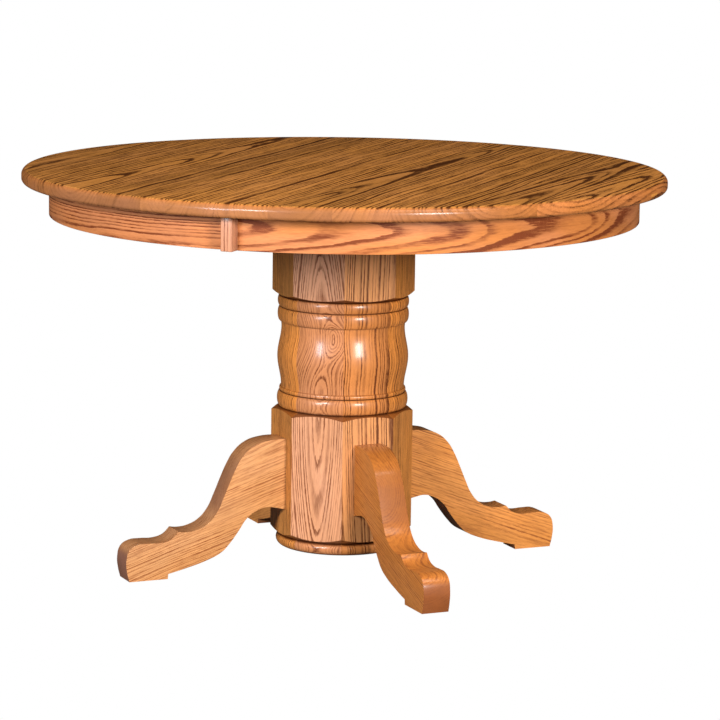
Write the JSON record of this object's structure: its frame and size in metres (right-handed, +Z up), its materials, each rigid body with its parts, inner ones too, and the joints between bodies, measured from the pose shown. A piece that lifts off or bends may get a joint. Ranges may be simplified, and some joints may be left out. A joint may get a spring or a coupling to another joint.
{
  "type": "round pedestal dining table",
  "caption": "Round split-top extension dining table on a turned octagonal pedestal with scroll-sawn feet and geared slides.",
  "frame": {"origin": "on the floor, under the middle of the column", "axes": "+Z up; +X and -X are the ways the two top halves slide apart; the seam between them runs along Y, and -Y is the front"},
  "size_m": [1.2192, 1.2192, 0.762],
  "materials": {
    "top_oak": "honey-stained oak, semi-gloss lacquer",
    "apron_oak": "honey-stained oak, semi-gloss lacquer",
    "column_oak": "honey-stained oak, semi-gloss lacquer",
    "foot_oak": "honey-stained oak, semi-gloss lacquer",
    "slide_beech": "bare planed beech",
    "plywood": "bare plywood",
    "zinc_steel": "zinc plated steel",
    "dark_steel": "oiled dark steel",
    "glide_plastic": "dark nylon"
  },
  "bodies": {
    "pedestal": {"column_stave_1": "column_oak", "column_stave_2": "column_oak", "column_stave_3": "column_oak", "column_stave_4": "column_oak", "column_stave_5": "column_oak", "column_stave_6": "column_oak", "column_stave_7": "column_oak", "column_stave_8": "column_oak", "column_top_plate": "plywood", "column_bottom_plate": "plywood", "foot_front": "foot_oak", "foot_right": "foot_oak", "foot_back": "foot_oak", "foot_left": "foot_oak", "foot_bolt_front_upper": "zinc_steel", "foot_bolt_front_lower": "zinc_steel", "foot_bolt_right_upper": "zinc_steel", "foot_bolt_right_lower": "zinc_steel", "foot_bolt_back_upper": "zinc_steel", "foot_bolt_back_lower": "zinc_steel", "foot_bolt_left_upper": "zinc_steel", "foot_bolt_left_lower": "zinc_steel", "foot_glide_front": "glide_plastic", "foot_glide_right": "glide_plastic", "foot_glide_back": "glide_plastic", "foot_glide_left": "glide_plastic", "cleat_left": "slide_beech", "cleat_right": "slide_beech", "cleat_bolt_1": "zinc_steel", "cleat_bolt_2": "zinc_steel", "cleat_bolt_3": "zinc_steel", "cleat_bolt_4": "zinc_steel", "centre_runner_front": "slide_beech", "centre_runner_back": "slide_beech"},
    "left_half": {"top_half_left": "top_oak", "apron_left": "apron_oak", "seam_block_back": "apron_oak", "runner_left_front": "slide_beech", "runner_left_back": "slide_beech", "rack_left_front": "zinc_steel", "rack_left_back": "zinc_steel", "alignment_pin_1": "slide_beech", "alignment_pin_2": "slide_beech", "alignment_pin_3": "slide_beech", "lock_plate_front": "dark_steel", "lock_plate_back": "dark_steel"},
    "right_half": {"top_half_right": "top_oak", "apron_right": "apron_oak", "seam_block_front": "apron_oak", "runner_right_front": "slide_beech", "runner_right_back": "slide_beech", "rack_right_front": "zinc_steel", "rack_right_back": "zinc_steel", "lock_keeper_front": "dark_steel", "lock_keeper_back": "dark_steel"},
    "pinion_front": {"pinion_front": "zinc_steel"},
    "pinion_back": {"pinion_back": "zinc_steel"},
    "lock_lever_front": {"lock_lever_front": "dark_steel"},
    "lock_lever_back": {"lock_lever_back": "dark_steel"}
  },
  "joints": [
    {"name": "left_slide", "type": "slide", "parent": "pedestal", "child": "left_half", "axis": [-1, 0, 0], "range_m": [0, 0.3048]},
    {"name": "right_slide", "type": "slide", "parent": "pedestal", "child": "right_half", "axis": [1, 0, 0], "range_m": [0, 0.3048]},
    {"name": "pinion_front_spin", "type": "hinge", "parent": "pedestal", "child": "pinion_front", "pos_m": [0, -0.19, 0.7223], "axis": [0, 0, 1], "range_deg": [-5, 1212]},
    {"name": "pinion_back_spin", "type": "hinge", "parent": "pedestal", "child": "pinion_back", "pos_m": [0, 0.19, 0.7223], "axis": [0, 0, 1], "range_deg": [-5, 1212]},
    {"name": "lock_front_swing", "type": "hinge", "parent": "left_half", "child": "lock_lever_front", "pos_m": [-0.035, -0.34, 0.7332], "axis": [0, 0, -1], "range_deg": [0, 90]},
    {"name": "lock_back_swing", "type": "hinge", "parent": "left_half", "child": "lock_lever_back", "pos_m": [-0.035, 0.34, 0.7332], "axis": [0, 0, 1], "range_deg": [0, 90]}
  ],
  "couplings": [
    {"joint": "right_slide", "follows": "left_slide", "ratio": 1},
    {"joint": "pinion_front_spin", "follows": "left_slide", "rad_per_m": 68.966},
    {"joint": "pinion_back_spin", "follows": "left_slide", "rad_per_m": 68.966}
  ]
}
